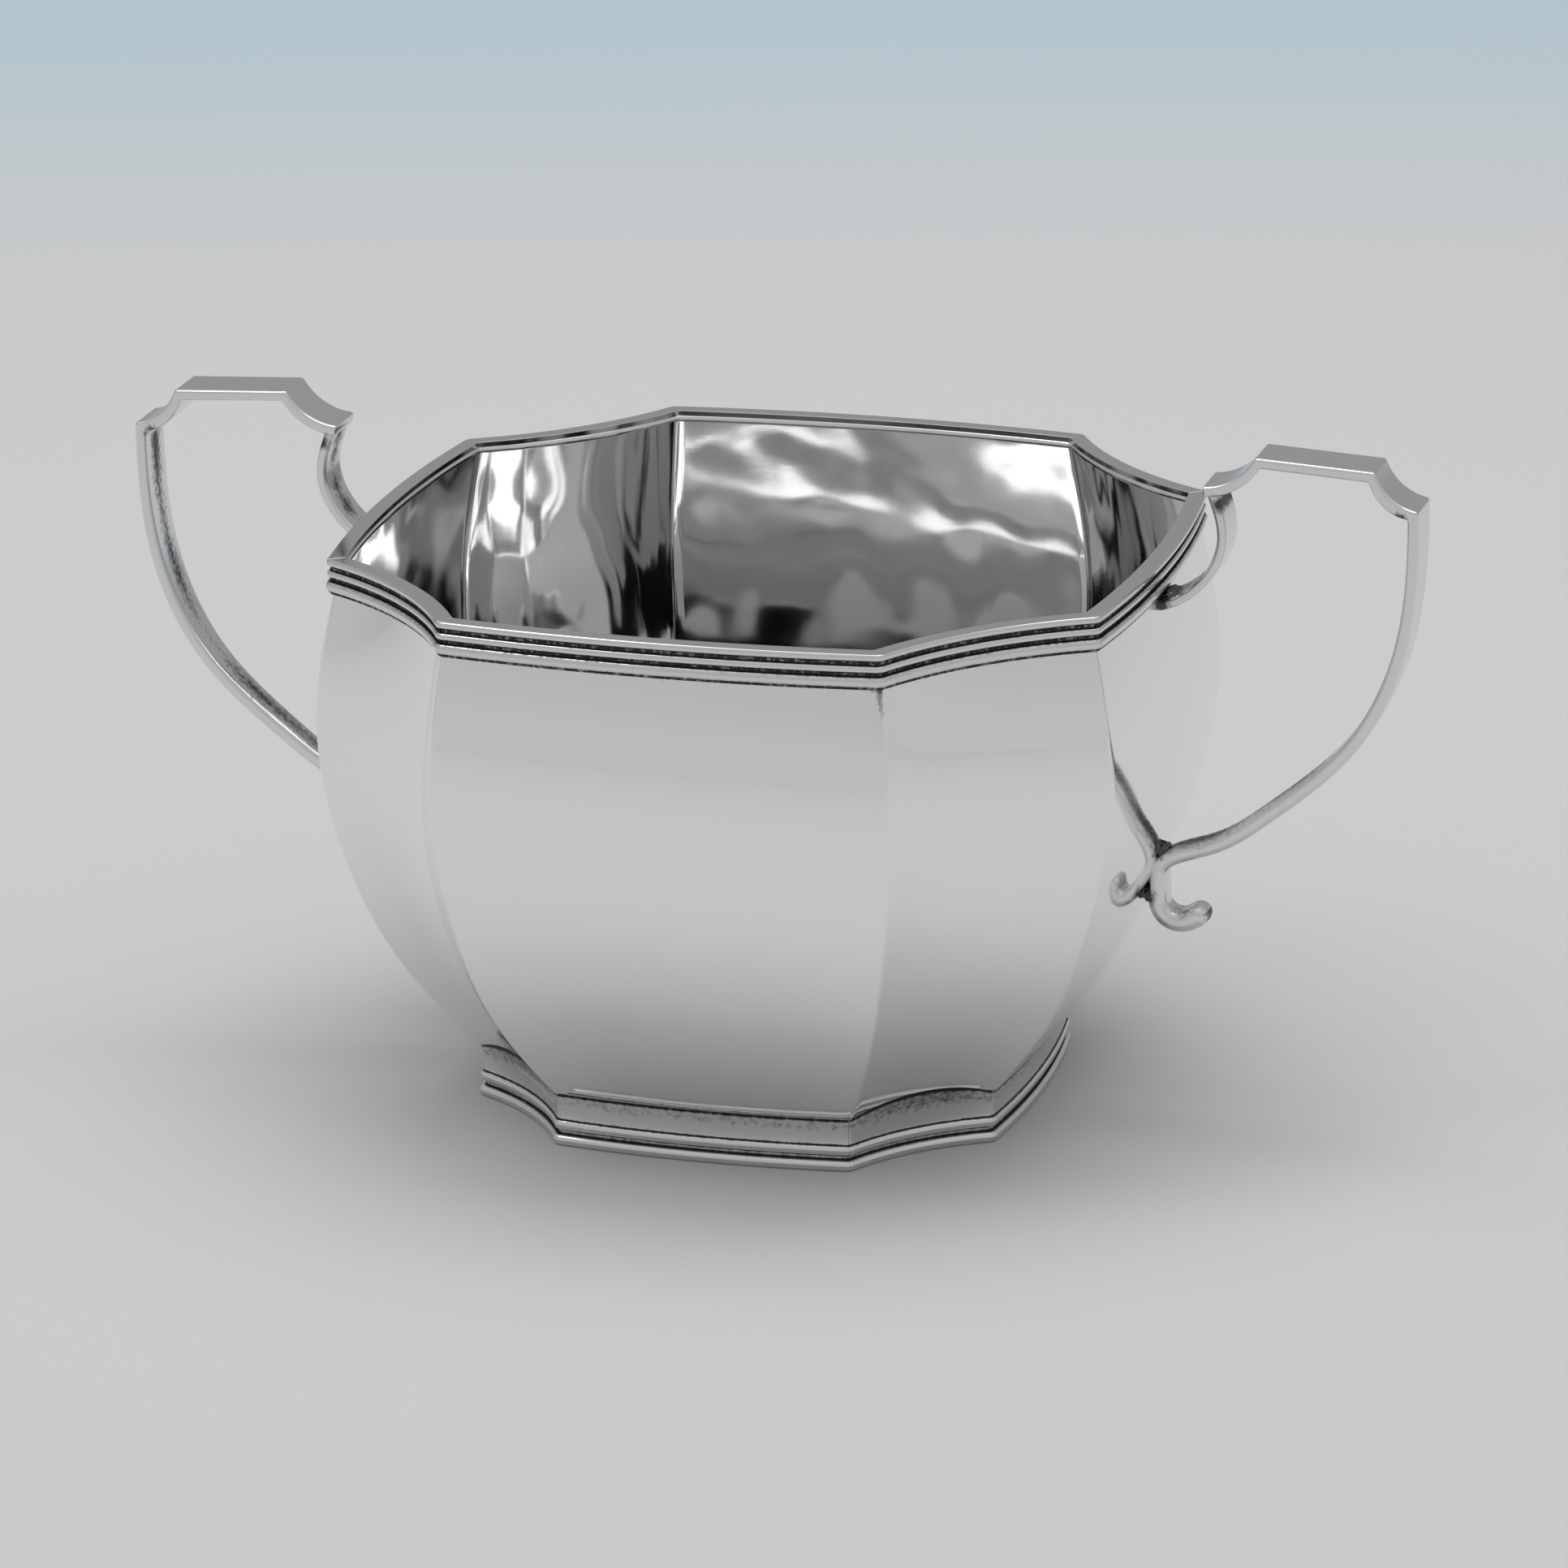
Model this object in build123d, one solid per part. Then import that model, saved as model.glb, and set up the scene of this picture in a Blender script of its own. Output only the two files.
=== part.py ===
"""An eight-sided silver sugar bowl with two strap handles, built up from its soldered pieces.

Millimetres, +Z up. The bowl stands on Z = 0 with its axis on the Z axis; the handles lie along X.

How the bowl is made, and how it is built here:
  wall            one sheet wrapped to the eight-sided outline and drawn in at the bottom
  floor_plate     the flat bottom, let into the lower edge of the wall
  rim_*           eight lengths of reeded moulding, mitred at the corners, capping the wall's edge
  foot_*          eight lengths of moulding, mitred the same way, under the wall's lower edge
  handle_*_top    the flat strap the fingers rest on, with a cove at each end
  handle_*_scroll the short inner limb, from the strap's inner tip down to the wall under the rim
  handle_*_limb   the long outer limb, from the strap's outer corner down to the wall, curled at its end

The outline at any height is four long sides bowed outwards and four short sides hollowed inwards.
Every height uses the same outline scaled, so one half width and one height fix each section.
"""

import math
import os

from build123d import *

# ---------------------------------------------------------------- outline, shared by every ring
RIM_HALF = 55.0          # bowl axis to the rim's corners, measured along X (and along Y)
CORNER_SHARE = 0.566     # corner's distance from the panel's middle, as a share of the half width
SIDE_BOW = 0.040         # how far a long side bows out past its corners, share of the half width
CORNER_DIP = 0.047       # how far a short side hollows in behind its corners, share of the half width

# ---------------------------------------------------------------- heights
RIM_TOP = 80.7           # table to the rim's flat top
FOOT_HEIGHT = 7.4        # table to the joint between foot and wall
RIM_FLANGE = 0.8         # thickness of the moulding where it caps the wall's edge
WALL_TOP = RIM_TOP - RIM_FLANGE

# ---------------------------------------------------------------- wall
WALL_THICK = 0.85
FLOOR_THICK = 1.0
MOUTH_HALF = RIM_HALF - 1.7     # outside of the wall at its top edge, behind the moulding
NECK_HALF = RIM_HALF - 0.1      # outside of the wall below the rim
NECK_HEIGHT = RIM_TOP - 8.2
BELLY_HALF = RIM_HALF + 1.8     # the fullest section
BELLY_HEIGHT = RIM_TOP * 0.706
WAIST_HALF = RIM_HALF - 1.1     # lower body, where the wall starts to draw in
WAIST_HEIGHT = RIM_TOP * 0.465
TUCK_HALF = RIM_HALF - 7.5      # the drawn-in part above the foot
TUCK_HEIGHT = RIM_TOP * 0.266

# ---------------------------------------------------------------- rim moulding, from the top down
RIM_FACE = 2.54          # width of the flat top face
RIM_EDGE_BEAD = 0.95     # height of the bead at the top edge
RIM_GROOVE = 0.70        # height of the upper groove
RIM_MID_BEAD = 0.95
RIM_LOWER_GROOVE = 0.60
RIM_LOW_BEAD = 1.35
RIM_FILLET = 0.45        # height of the thin fillet under the lowest bead
RIM_GROOVE_DEPTH = 0.60
RIM_SOLDER = 0.12        # least gap behind the moulding, which the solder fills

# ---------------------------------------------------------------- foot moulding, from the table up
FOOT_HALF = 37.1         # bowl axis to the foot moulding's datum line, at a corner
FOOT_LOW_BEAD = 1.50     # height of the bead on the table
FOOT_GROOVE = 0.75
FOOT_HIGH_BEAD = 1.45
FOOT_BEAD_REACH = 0.70   # how far the lower bead stands out from the datum line
FOOT_GROOVE_DEPTH = 0.55
FOOT_COVE = 0.20         # how far the plain band above the beads hollows in
FOOT_BAND = 1.30         # thickness of the moulding behind its datum line
FOOT_LEDGE = 0.40        # how far the moulding's top edge stands out from the datum line
JOINT_HALF = FOOT_HALF + FOOT_LEDGE   # outside of the wall where it stands on the foot

# ---------------------------------------------------------------- handles (right one; left is mirrored)
STRAP_WIDE = 8.0         # width across, along Y
STRAP_THICK = 1.5
TIP_X = RIM_HALF + 7.5        # inner tip of the strap
TIP_Z = RIM_TOP + 11.0
SHOULDER_X = RIM_HALF + 14.9  # inner end of the flat top
SHOULDER_Z = RIM_TOP + 15.6
KNEE_X = RIM_HALF + 31.6      # outer end of the flat top
KNEE_Z = RIM_TOP + 14.7
ELBOW_X = RIM_HALF + 37.7     # outer corner, above the long limb
ELBOW_Z = RIM_TOP + 9.5
ELBOW_DROP = 2.2         # the strap turns down this far before the limb is joined on
COVE_SAG = 1.15          # depth of the hollow at each end of the strap

SCROLL_WIDE = 7.0        # inner limb
SCROLL_THICK = 1.35
SCROLL_TOP_IN = 1.1      # tip of the strap to the middle of the inner limb
SCROLL_BACK = RIM_HALF + 10.2     # the inner limb's furthest reach from the axis
SCROLL_BACK_Z = RIM_TOP + 3.8
SCROLL_END_Z = RIM_TOP - 6.6      # where its middle meets the wall

LIMB_SIDE_X = RIM_HALF + 35.2     # points on the outer limb's middle line
LIMB_SIDE_Z = RIM_TOP - 10.7
LIMB_TURN_X = RIM_HALF + 28.0
LIMB_TURN_Z = RIM_TOP - 25.7
LIMB_REACH_X = RIM_HALF + 16.0
LIMB_REACH_Z = RIM_TOP - 36.8
LIMB_NEAR_X = RIM_HALF + 7.6
LIMB_NEAR_Z = RIM_TOP - 42.0
LIMB_SEAT_Z = RIM_TOP - 46.4      # height of the middle of the solder seat on the wall
LIMB_SEAT_SINK = 0.35    # the limb is filed to the wall by this much
LIMB_SEAT_WIDE = 4.4     # width and thickness where it meets the wall
LIMB_SEAT_THICK = 2.4
CURL_WIDE = 5.4          # width and thickness at the curled end
CURL_THICK = 3.1
CURL_RADIUS = 3.1        # of the curl's middle line
CURL_SWING = 120.0       # degrees the curl turns through before its round nose
CURL_DROP = 3.6          # seat to the start of the curl
CURL_RUN = 1.2           # straight run after the curl, before the round nose

# ---------------------------------------------------------------- outline geometry


def outline(half, z):
    """The closed outline at one height: bowed side, hollow corner, four times round."""
    near = half * CORNER_SHARE
    bowed = half * (1 + SIDE_BOW)
    hollow = (half + near) / 2 - half * CORNER_DIP / math.sqrt(2)
    edges = []
    for quarter in range(4):
        side = ThreePointArc((half, -near, z), (bowed, 0, z), (half, near, z))
        corner = ThreePointArc((half, near, z), (hollow, hollow, z), (near, half, z))
        edges.append(side.edge().rotate(Axis.Z, 90 * quarter))
        edges.append(corner.edge().rotate(Axis.Z, 90 * quarter))
    return Wire(edges)


def side_arc(half):
    """Radius and centre distance of a long side's arc."""
    near = half * CORNER_SHARE
    rise = half * SIDE_BOW
    radius = (near ** 2 + rise ** 2) / (2 * rise)
    return radius, half + rise - radius


def corner_arc(half):
    """Radius and centre distance, along the diagonal, of a short side's arc."""
    near = half * CORNER_SHARE
    chord = (half - near) / math.sqrt(2)
    dip = half * CORNER_DIP
    radius = (chord ** 2 + dip ** 2) / (2 * dip)
    middle = (half + near) / math.sqrt(2) - dip
    return radius, middle + radius


def mitre_line(half):
    """A corner of the outline and the direction its mitre runs, outwards."""
    corner = Vector(half, half * CORNER_SHARE, 0)
    side_centre = Vector(side_arc(half)[1], 0, 0)
    reach = corner_arc(half)[1] / math.sqrt(2)
    corner_centre = Vector(reach, reach, 0)
    side_out = (corner - side_centre).normalized()
    corner_out = (corner_centre - corner).normalized()
    return corner, (side_out + corner_out).normalized()


def mitred(ring, near, far, low, high):
    """The part of a ring between two mitres, each given as (corner, direction)."""
    inner = 8.0
    outer = 6.0
    ends = [near[0] - near[1] * inner, near[0] + near[1] * outer,
            far[0] + far[1] * outer, far[0] - far[1] * inner]
    block = Polyline(*[(p.X, p.Y, low - 1) for p in ends], close=True)
    return ring & extrude(make_face(block), high - low + 2, dir=(0, 0, 1))


def moulding(profile, half, low, high):
    """One long side and one short side of a moulding ring.

    profile(start) gives a face in the XZ plane whose datum line stands at x = start, outwards +X.
    """
    corner, outwards = mitre_line(half)
    mirrored = (Vector(corner.X, -corner.Y, 0), Vector(outwards.X, -outwards.Y, 0))

    radius, centre = side_arc(half)
    reach = math.degrees(math.asin(half * CORNER_SHARE / radius)) + 3
    face = profile(centre + radius)
    axis = Axis((centre, 0, 0), (0, 0, 1))
    band = revolve(face.rotate(axis, -reach), axis, 2 * reach)
    side = mitred(band, mirrored, (corner, outwards), low, high)

    radius, centre = corner_arc(half)
    chord = half * (1 - CORNER_SHARE) / math.sqrt(2)
    reach = math.degrees(math.asin(chord / radius)) + 9
    face = profile(centre - radius)
    axis = Axis((centre, 0, 0), (0, 0, 1))
    band = revolve(face.rotate(axis, -reach), axis, 2 * reach).rotate(Axis.Z, 45)
    swapped = (Vector(corner.Y, corner.X, 0), Vector(outwards.Y, outwards.X, 0))
    short = mitred(band, (corner, outwards), swapped, low, high)
    return side, short


# ---------------------------------------------------------------- wall and floor


def wall_sections(inset):
    """Half width and height of each section, taken in by the inset measured square to the wall."""
    rows = [(JOINT_HALF, FOOT_HEIGHT), (TUCK_HALF, TUCK_HEIGHT), (WAIST_HALF, WAIST_HEIGHT),
            (BELLY_HALF, BELLY_HEIGHT), (NECK_HALF, NECK_HEIGHT), (MOUTH_HALF, WALL_TOP)]
    made = []
    for index, (half, z) in enumerate(rows):
        below = rows[max(index - 1, 0)]
        above = rows[min(index + 1, len(rows) - 1)]
        slope = (above[0] - below[0]) / (above[1] - below[1])
        made.append((half - inset * math.sqrt(1 + slope ** 2), z))
    return made


def bowl_solid(inset):
    """The solid inside the wall's outer face (inset 0) or inside its inner face."""
    return Solid.make_loft([outline(half, z) for half, z in wall_sections(inset)])


def wall_reach(z):
    """Distance from the axis to the wall's outer face, on the middle of a long side."""
    probe = Edge.make_line((0, 0, z), (RIM_HALF * 2, 0, z))
    return (ENVELOPE & probe).bounding_box().max.X


# ---------------------------------------------------------------- moulding profiles


def rim_profile(start):
    """Flat top, three beads with two grooves between them, and a thin fillet at the bottom."""
    groove = start - RIM_GROOVE_DEPTH
    z = RIM_TOP
    levels = [z]
    for step in (RIM_EDGE_BEAD, RIM_GROOVE, RIM_MID_BEAD, RIM_LOWER_GROOVE, RIM_LOW_BEAD, RIM_FILLET):
        z = z - step
        levels.append(z)
    top, a, b, c, d, e, bottom = levels
    back = start - RIM_FACE
    seat = start - (RIM_HALF - MOUTH_HALF) + RIM_SOLDER
    foot = seat + (WALL_TOP - bottom) * (NECK_HALF - MOUTH_HALF) / (WALL_TOP - NECK_HEIGHT)
    with BuildSketch(Plane.XZ) as sketch:
        with BuildLine():
            Line((back, top), (start - 0.25, top))
            ThreePointArc((start - 0.25, top), (start, (top + a) / 2), (start - 0.25, a))
            Line((start - 0.25, a), (groove, a))
            Line((groove, a), (groove, b))
            Line((groove, b), (start - 0.30, b))
            ThreePointArc((start - 0.30, b), (start - 0.05, (b + c) / 2), (start - 0.30, c))
            Line((start - 0.30, c), (groove, c))
            Line((groove, c), (groove, d))
            Line((groove, d), (start - 0.15, d))
            ThreePointArc((start - 0.15, d), (start + 0.15, (d + e) / 2), (start - 0.15, e))
            Line((start - 0.15, e), (start - 0.35, e))
            Line((start - 0.35, e), (start - 0.40, bottom))
            Line((start - 0.40, bottom), (foot, bottom))
            Line((foot, bottom), (seat, WALL_TOP))
            Line((seat, WALL_TOP), (back, WALL_TOP))
            Line((back, WALL_TOP), (back, top))
        make_face()
    return sketch.sketch.face()


def foot_profile(start):
    """Two beads with a groove between them, and a plain hollow band up to the wall."""
    low = FOOT_LOW_BEAD
    groove_top = low + FOOT_GROOVE
    band = groove_top + FOOT_HIGH_BEAD
    top = FOOT_HEIGHT
    groove = start - FOOT_GROOVE_DEPTH + 0.3
    back = start - FOOT_BAND
    cove = start + 0.10 + FOOT_LEDGE / 3 - FOOT_COVE
    with BuildSketch(Plane.XZ) as sketch:
        with BuildLine():
            Line((back, 0), (start + 0.25, 0))
            ThreePointArc((start + 0.25, 0), (start + FOOT_BEAD_REACH, low / 2), (start + 0.25, low))
            Line((start + 0.25, low), (groove, low))
            Line((groove, low), (groove, groove_top))
            Line((groove, groove_top), (start + 0.15, groove_top))
            ThreePointArc((start + 0.15, groove_top), (start + 0.5, (groove_top + band) / 2),
                          (start + 0.10, band))
            ThreePointArc((start + 0.10, band), (cove, (band + top) / 2), (start + FOOT_LEDGE, top))
            Line((start + FOOT_LEDGE, top), (back, top))
            Line((back, top), (back, 0))
        make_face()
    return sketch.sketch.face()


# ---------------------------------------------------------------- handles


def hollow_arc(start, end, sag):
    """An arc between two points of the XZ plane that hangs below its chord by the sag."""
    middle = (start + end) * 0.5
    run = (end - start).normalized()
    below = Vector(run.Y, -run.X) if run.X > 0 else Vector(-run.Y, run.X)
    return ThreePointArc(start, middle + below * sag, end)


def strap():
    """The flat strap: cove, flat top, cove, then the turn down to the outer limb."""
    tip = Vector(TIP_X, TIP_Z)
    shoulder = Vector(SHOULDER_X, SHOULDER_Z)
    knee = Vector(KNEE_X, KNEE_Z)
    elbow = Vector(ELBOW_X, ELBOW_Z)
    thick = STRAP_THICK
    tip_in = Vector(TIP_X + 0.2, TIP_Z - thick)
    shoulder_in = Vector(SHOULDER_X + thick * 0.45, SHOULDER_Z - thick)
    knee_in = Vector(KNEE_X - thick * 0.55, KNEE_Z - thick)
    elbow_in = Vector(ELBOW_X - thick, ELBOW_Z - thick * 0.8)
    foot = ELBOW_Z - ELBOW_DROP
    with BuildSketch(Plane.XZ) as sketch:
        with BuildLine():
            hollow_arc(tip, shoulder, COVE_SAG)
            Line(shoulder, knee)
            hollow_arc(knee, elbow, COVE_SAG)
            Line(elbow, (ELBOW_X, foot))
            Line((ELBOW_X, foot), (ELBOW_X - thick, foot))
            Line((ELBOW_X - thick, foot), elbow_in)
            hollow_arc(knee_in, elbow_in, COVE_SAG)
            Line(knee_in, shoulder_in)
            hollow_arc(tip_in, shoulder_in, COVE_SAG)
            Line(tip_in, tip)
        make_face()
    return extrude(sketch.sketch.face(), STRAP_WIDE / 2, both=True)


def between(rows, share):
    """The value at a share of the way along, read off straight lines between (share, value) rows."""
    for (low, first), (high, second) in zip(rows, rows[1:]):
        if share <= high:
            return first + (second - first) * (share - low) / (high - low)
    return rows[-1][1]


def ribbon(path, shares, thickness):
    """The side view of a bent strap: points along both faces, and the path's end and direction.

    thickness holds (share, value) rows. The points of each face lie half the thickness to one
    side of the path, at the stations named by shares.
    """
    faces = {1: [], -1: []}
    for share in shares:
        place = path.position_at(share)
        run = path.tangent_at(share)
        across = Vector(-run.Z, 0, run.X) * (between(thickness, share) / 2)
        for side, points in faces.items():
            points.append(place + across * side)
    run = path.tangent_at(1)
    return faces[1], faces[-1], path.position_at(1), run


def scroll(top_piece):
    """The inner limb, bent from the strap's tip down and in to the wall under the rim."""
    end_x = wall_reach(SCROLL_END_Z)
    path = Spline(
        (TIP_X + SCROLL_TOP_IN, 0, TIP_Z - STRAP_THICK / 2),
        (SCROLL_BACK, 0, SCROLL_BACK_Z),
        (SCROLL_BACK - 3.4, 0, SCROLL_BACK_Z - 7.4),
        (end_x - 1.5, 0, SCROLL_END_Z - 0.3),
        tangents=((0.35, 0, -1), (-1, 0, -0.22)),
    ).edge()
    shares = [step / 7 for step in range(8)]
    one, other, _, _ = ribbon(path, shares, [(0, SCROLL_THICK), (1, SCROLL_THICK)])
    face = make_face([Spline(*one).edge(), Line(one[-1], other[-1]).edge(),
                      Spline(*other).edge(), Line(other[0], one[0]).edge()])
    piece = extrude(face, SCROLL_WIDE / 2, both=True)
    return (piece - top_piece - ENVELOPE).solids().sort_by(SortBy.VOLUME)[-1]


def limb():
    """The outer limb: a strap that narrows and thickens, seats on the wall and curls outwards."""
    seat = Vector(wall_reach(LIMB_SEAT_Z) + LIMB_SEAT_THICK / 2 - LIMB_SEAT_SINK, 0, LIMB_SEAT_Z)
    down = Vector(0, 0, -1)
    upper = Spline(
        (ELBOW_X - STRAP_THICK / 2, 0, ELBOW_Z - ELBOW_DROP),
        (LIMB_SIDE_X, 0, LIMB_SIDE_Z),
        (LIMB_TURN_X, 0, LIMB_TURN_Z),
        (LIMB_REACH_X, 0, LIMB_REACH_Z),
        (LIMB_NEAR_X, 0, LIMB_NEAR_Z),
        seat,
        tangents=((0, 0, -1), down),
    ).edge()
    turn = seat + down * CURL_DROP
    outwards = Vector(1, 0, 0)
    centre = turn + outwards * CURL_RADIUS

    def on_curl(share):
        angle = math.radians(CURL_SWING * share)
        return centre + (down * math.sin(angle) - outwards * math.cos(angle)) * CURL_RADIUS

    straight = Line(seat, turn).edge()
    curl = ThreePointArc(turn, on_curl(0.5), on_curl(1.0)).edge()
    run = Line(on_curl(1.0), on_curl(1.0) + curl.tangent_at(1) * CURL_RUN).edge()
    path = Wire([upper, straight, curl, run])
    seat_share = upper.length / path.length
    curl_share = (upper.length + straight.length) / path.length
    shares = [seat_share * step / 10 for step in range(11)]
    shares += [curl_share + (1 - curl_share) * step / 5 for step in range(6)]
    thickness = [(0, STRAP_THICK), (seat_share, LIMB_SEAT_THICK), (1, CURL_THICK)]
    one, other, end, ahead = ribbon(path, shares, thickness)
    nose = ThreePointArc(one[-1], end + ahead * (CURL_THICK / 2), other[-1]).edge()
    face = make_face([Spline(*one).edge(), nose, Spline(*other).edge(),
                      Line(other[0], one[0]).edge()])
    side_view = extrude(face, STRAP_WIDE / 2, both=True)

    top = ELBOW_Z - ELBOW_DROP + 1
    edge = [(STRAP_WIDE / 2, top), (STRAP_WIDE / 2 * 0.93, LIMB_SIDE_Z),
            (LIMB_SEAT_WIDE / 2 * 1.15, LIMB_REACH_Z), (LIMB_SEAT_WIDE / 2, LIMB_SEAT_Z),
            (CURL_WIDE / 2, LIMB_SEAT_Z - CURL_DROP - CURL_RADIUS * 2)]
    right = Spline(*[(ELBOW_X + 5, y, z) for y, z in edge]).edge()
    left = Spline(*[(ELBOW_X + 5, -y, z) for y, z in edge]).edge()
    cap = Line(left @ 0, right @ 0).edge()
    sole = Line(left @ 1, right @ 1).edge()
    end_view = extrude(make_face([right, sole, left, cap]), ELBOW_X - RIM_HALF + 15, dir=(-1, 0, 0))
    return ((side_view & end_view) - ENVELOPE).solids().sort_by(SortBy.VOLUME)[-1]


# ---------------------------------------------------------------- build

ENVELOPE = bowl_solid(0)


def main():
    """Build every piece and write one file for each."""
    os.makedirs("parts", exist_ok=True)
    hollow = bowl_solid(WALL_THICK)
    wall = ENVELOPE - hollow
    slab = Pos(0, 0, FOOT_HEIGHT + FLOOR_THICK / 2) * Box(RIM_HALF * 3, RIM_HALF * 3, FLOOR_THICK)
    floor_plate = hollow & slab

    pieces = {"wall": wall, "floor_plate": floor_plate}

    side, short = moulding(rim_profile, RIM_HALF, WALL_TOP - 5, RIM_TOP)
    foot_side, foot_short = moulding(foot_profile, FOOT_HALF, 0, FOOT_HEIGHT)
    names = ("right", "back", "left", "front")
    corners = ("back_right", "back_left", "front_left", "front_right")
    for quarter in range(4):
        pieces["rim_" + names[quarter]] = side.rotate(Axis.Z, 90 * quarter)
        pieces["rim_" + corners[quarter]] = short.rotate(Axis.Z, 90 * quarter)
        pieces["foot_" + names[quarter]] = foot_side.rotate(Axis.Z, 90 * quarter)
        pieces["foot_" + corners[quarter]] = foot_short.rotate(Axis.Z, 90 * quarter)

    top_piece = strap()
    handle = {"top": top_piece, "scroll": scroll(top_piece), "limb": limb()}
    for name, piece in handle.items():
        pieces["handle_right_" + name] = piece
        pieces["handle_left_" + name] = mirror(piece, about=Plane.YZ)

    for name, piece in pieces.items():
        export_step(piece, f"parts/{name}.step")
        size = piece.bounding_box().size
        print(f"{name:24s} {piece.volume:10.1f} mm3  {size.X:7.2f} {size.Y:7.2f} {size.Z:7.2f}")


main()
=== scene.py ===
"""An eight-sided silver sugar bowl on a studio table, laid out as an add-on.

Sizes in the sidebar are lengths in metres. The shape code works in millimetres and is turned to
metres where a mesh is written. +Z is up, the bowl stands on Z = 0, and the handles lie along X.
"""

import math

import bpy
import numpy as np
from bpy.props import FloatProperty, FloatVectorProperty, PointerProperty
from mathutils import Matrix, Vector


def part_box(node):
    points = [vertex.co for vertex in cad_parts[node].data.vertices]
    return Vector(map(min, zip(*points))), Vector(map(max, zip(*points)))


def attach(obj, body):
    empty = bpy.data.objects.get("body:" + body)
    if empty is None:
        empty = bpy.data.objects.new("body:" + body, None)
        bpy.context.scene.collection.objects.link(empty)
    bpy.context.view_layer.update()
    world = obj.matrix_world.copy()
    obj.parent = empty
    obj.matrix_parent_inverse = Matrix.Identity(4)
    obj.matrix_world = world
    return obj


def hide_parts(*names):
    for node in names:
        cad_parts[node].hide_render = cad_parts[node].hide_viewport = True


bl_info = {
    "name": "Eight-Sided Sugar Bowl",
    "version": (1, 0, 0),
    "blender": (4, 5, 0),
    "location": "3D View > Sidebar > Sugar Bowl",
    "description": "Builds a polished silver sugar bowl with two strap handles",
    "category": "Add Mesh",
}

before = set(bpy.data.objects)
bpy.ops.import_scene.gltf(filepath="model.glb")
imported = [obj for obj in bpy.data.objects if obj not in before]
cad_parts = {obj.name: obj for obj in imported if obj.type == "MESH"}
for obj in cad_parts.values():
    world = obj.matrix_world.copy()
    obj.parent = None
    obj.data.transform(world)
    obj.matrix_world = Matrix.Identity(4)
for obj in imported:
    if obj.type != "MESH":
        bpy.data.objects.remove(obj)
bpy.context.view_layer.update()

MM = 0.001
BODY = "root"
SIDES = ("right", "back", "left", "front")
CORNERS = ("back_right", "back_left", "front_left", "front_right")

RIM_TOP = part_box("rim_front")[1].z / MM
WALL_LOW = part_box("wall")[0].z / MM
WALL_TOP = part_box("wall")[1].z / MM
FLOOR_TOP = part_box("floor_plate")[1].z / MM
STRAP_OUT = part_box("handle_right_top")[1].x / MM

# millimetres, each used by more than one piece
FOOT_LEDGE = 0.40               # the foot's upper edge, outside its datum line
SEAT_Z = RIM_TOP - 46.4         # where an outer limb is soldered to the wall
TIP_Z, ELBOW_Z = RIM_TOP + 11.0, RIM_TOP + 9.5     # the inner and outer ends of a strap's top
STRAP_END_Z = ELBOW_Z - 2.2     # where a strap hands over to its outer limb

OUTER_FACE = slice(0, 15)       # a bar section's columns on the face given first, edges and all
INNER_FACE = slice(18, 33)      # and on the face given second


# ---------------- colours


def hex_linear(text):
    """An sRGB hex value as linear red, green, blue and 1."""
    made = []
    for start in (1, 3, 5):
        share = int(text[start:start + 2], 16) / 255
        made.append(share / 12.92 if share <= 0.04045 else ((share + 0.055) / 1.055) ** 2.4)
    return (*made, 1.0)


# ---------------- settings


def length_setting(label, says, default, least):
    """A length in the sidebar, in metres."""
    return FloatProperty(name=label, description=says, default=default, min=least, unit="LENGTH")


def share_setting(label, says, default, least, most):
    """A share in the sidebar, as a factor."""
    return FloatProperty(name=label, description=says, default=default, min=least, max=most,
                         subtype="FACTOR")


def colour_setting(label, says, text):
    """A colour in the sidebar, given as an sRGB hex value."""
    return FloatVectorProperty(name=label, description=says, size=4, subtype="COLOR", min=0, max=1,
                               default=hex_linear(text))


class BowlBody(bpy.types.PropertyGroup):
    """The wall and floor of the bowl."""

    rim_half: length_setting("Rim Half Width", "Axis to the rim's corners, along X", 0.055, 0.02)
    corner_share: share_setting(
        "Corner Share", "Corner's distance from the panel's middle, per half width", 0.566, 0.3, 0.8)
    side_bow: share_setting("Side Bow", "Bow of a long side, per half width", 0.040, 0.005, 0.2)
    corner_dip: share_setting("Corner Dip", "Hollow of a short side, per half width", 0.047, 0.005, 0.2)
    wall_thick: length_setting("Wall Thickness", "Thickness of the wrapped sheet", 0.00085, 0.0003)
    arris_round: length_setting(
        "Arris Rounding", "Half the width of a worn upright edge", 0.0007, 0.0001)


class BowlMouldings(bpy.types.PropertyGroup):
    """The rim and foot mouldings."""

    groove_depth: length_setting("Rim Groove Depth", "Depth of the rim's two grooves", 0.0006, 0.0001)
    rim_face: length_setting("Rim Face", "Width of the rim's flat top", 0.00254, 0.001)
    foot_half: length_setting("Foot Half Width", "Axis to the foot's datum line", 0.0371, 0.01)
    foot_groove: length_setting("Foot Groove Depth", "Depth of the foot's groove", 0.00055, 0.0001)
    mitre_gap: length_setting("Mitre Line", "Worn edge at each end of a length", 0.00006, 0.0)
    rim_corner: length_setting(
        "Rim Corner Wear", "Length over which a rim corner is worn", 0.0006, 0.00005)
    foot_corner: length_setting(
        "Foot Corner Wear", "Length over which a foot corner is worn", 0.0005, 0.00005)


class BowlHandles(bpy.types.PropertyGroup):
    """The two handles."""

    strap_wide: length_setting("Strap Width", "Width of the strap across, along Y", 0.008, 0.003)
    strap_thick: length_setting("Strap Thickness", "Thickness of the strap", 0.0015, 0.0005)
    scroll_wide: length_setting("Scroll Width", "Width of the short inner limb", 0.007, 0.003)
    edge_round: length_setting("Edge Rounding", "Radius of the strap's worn edges", 0.00045, 0.00005)


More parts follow.
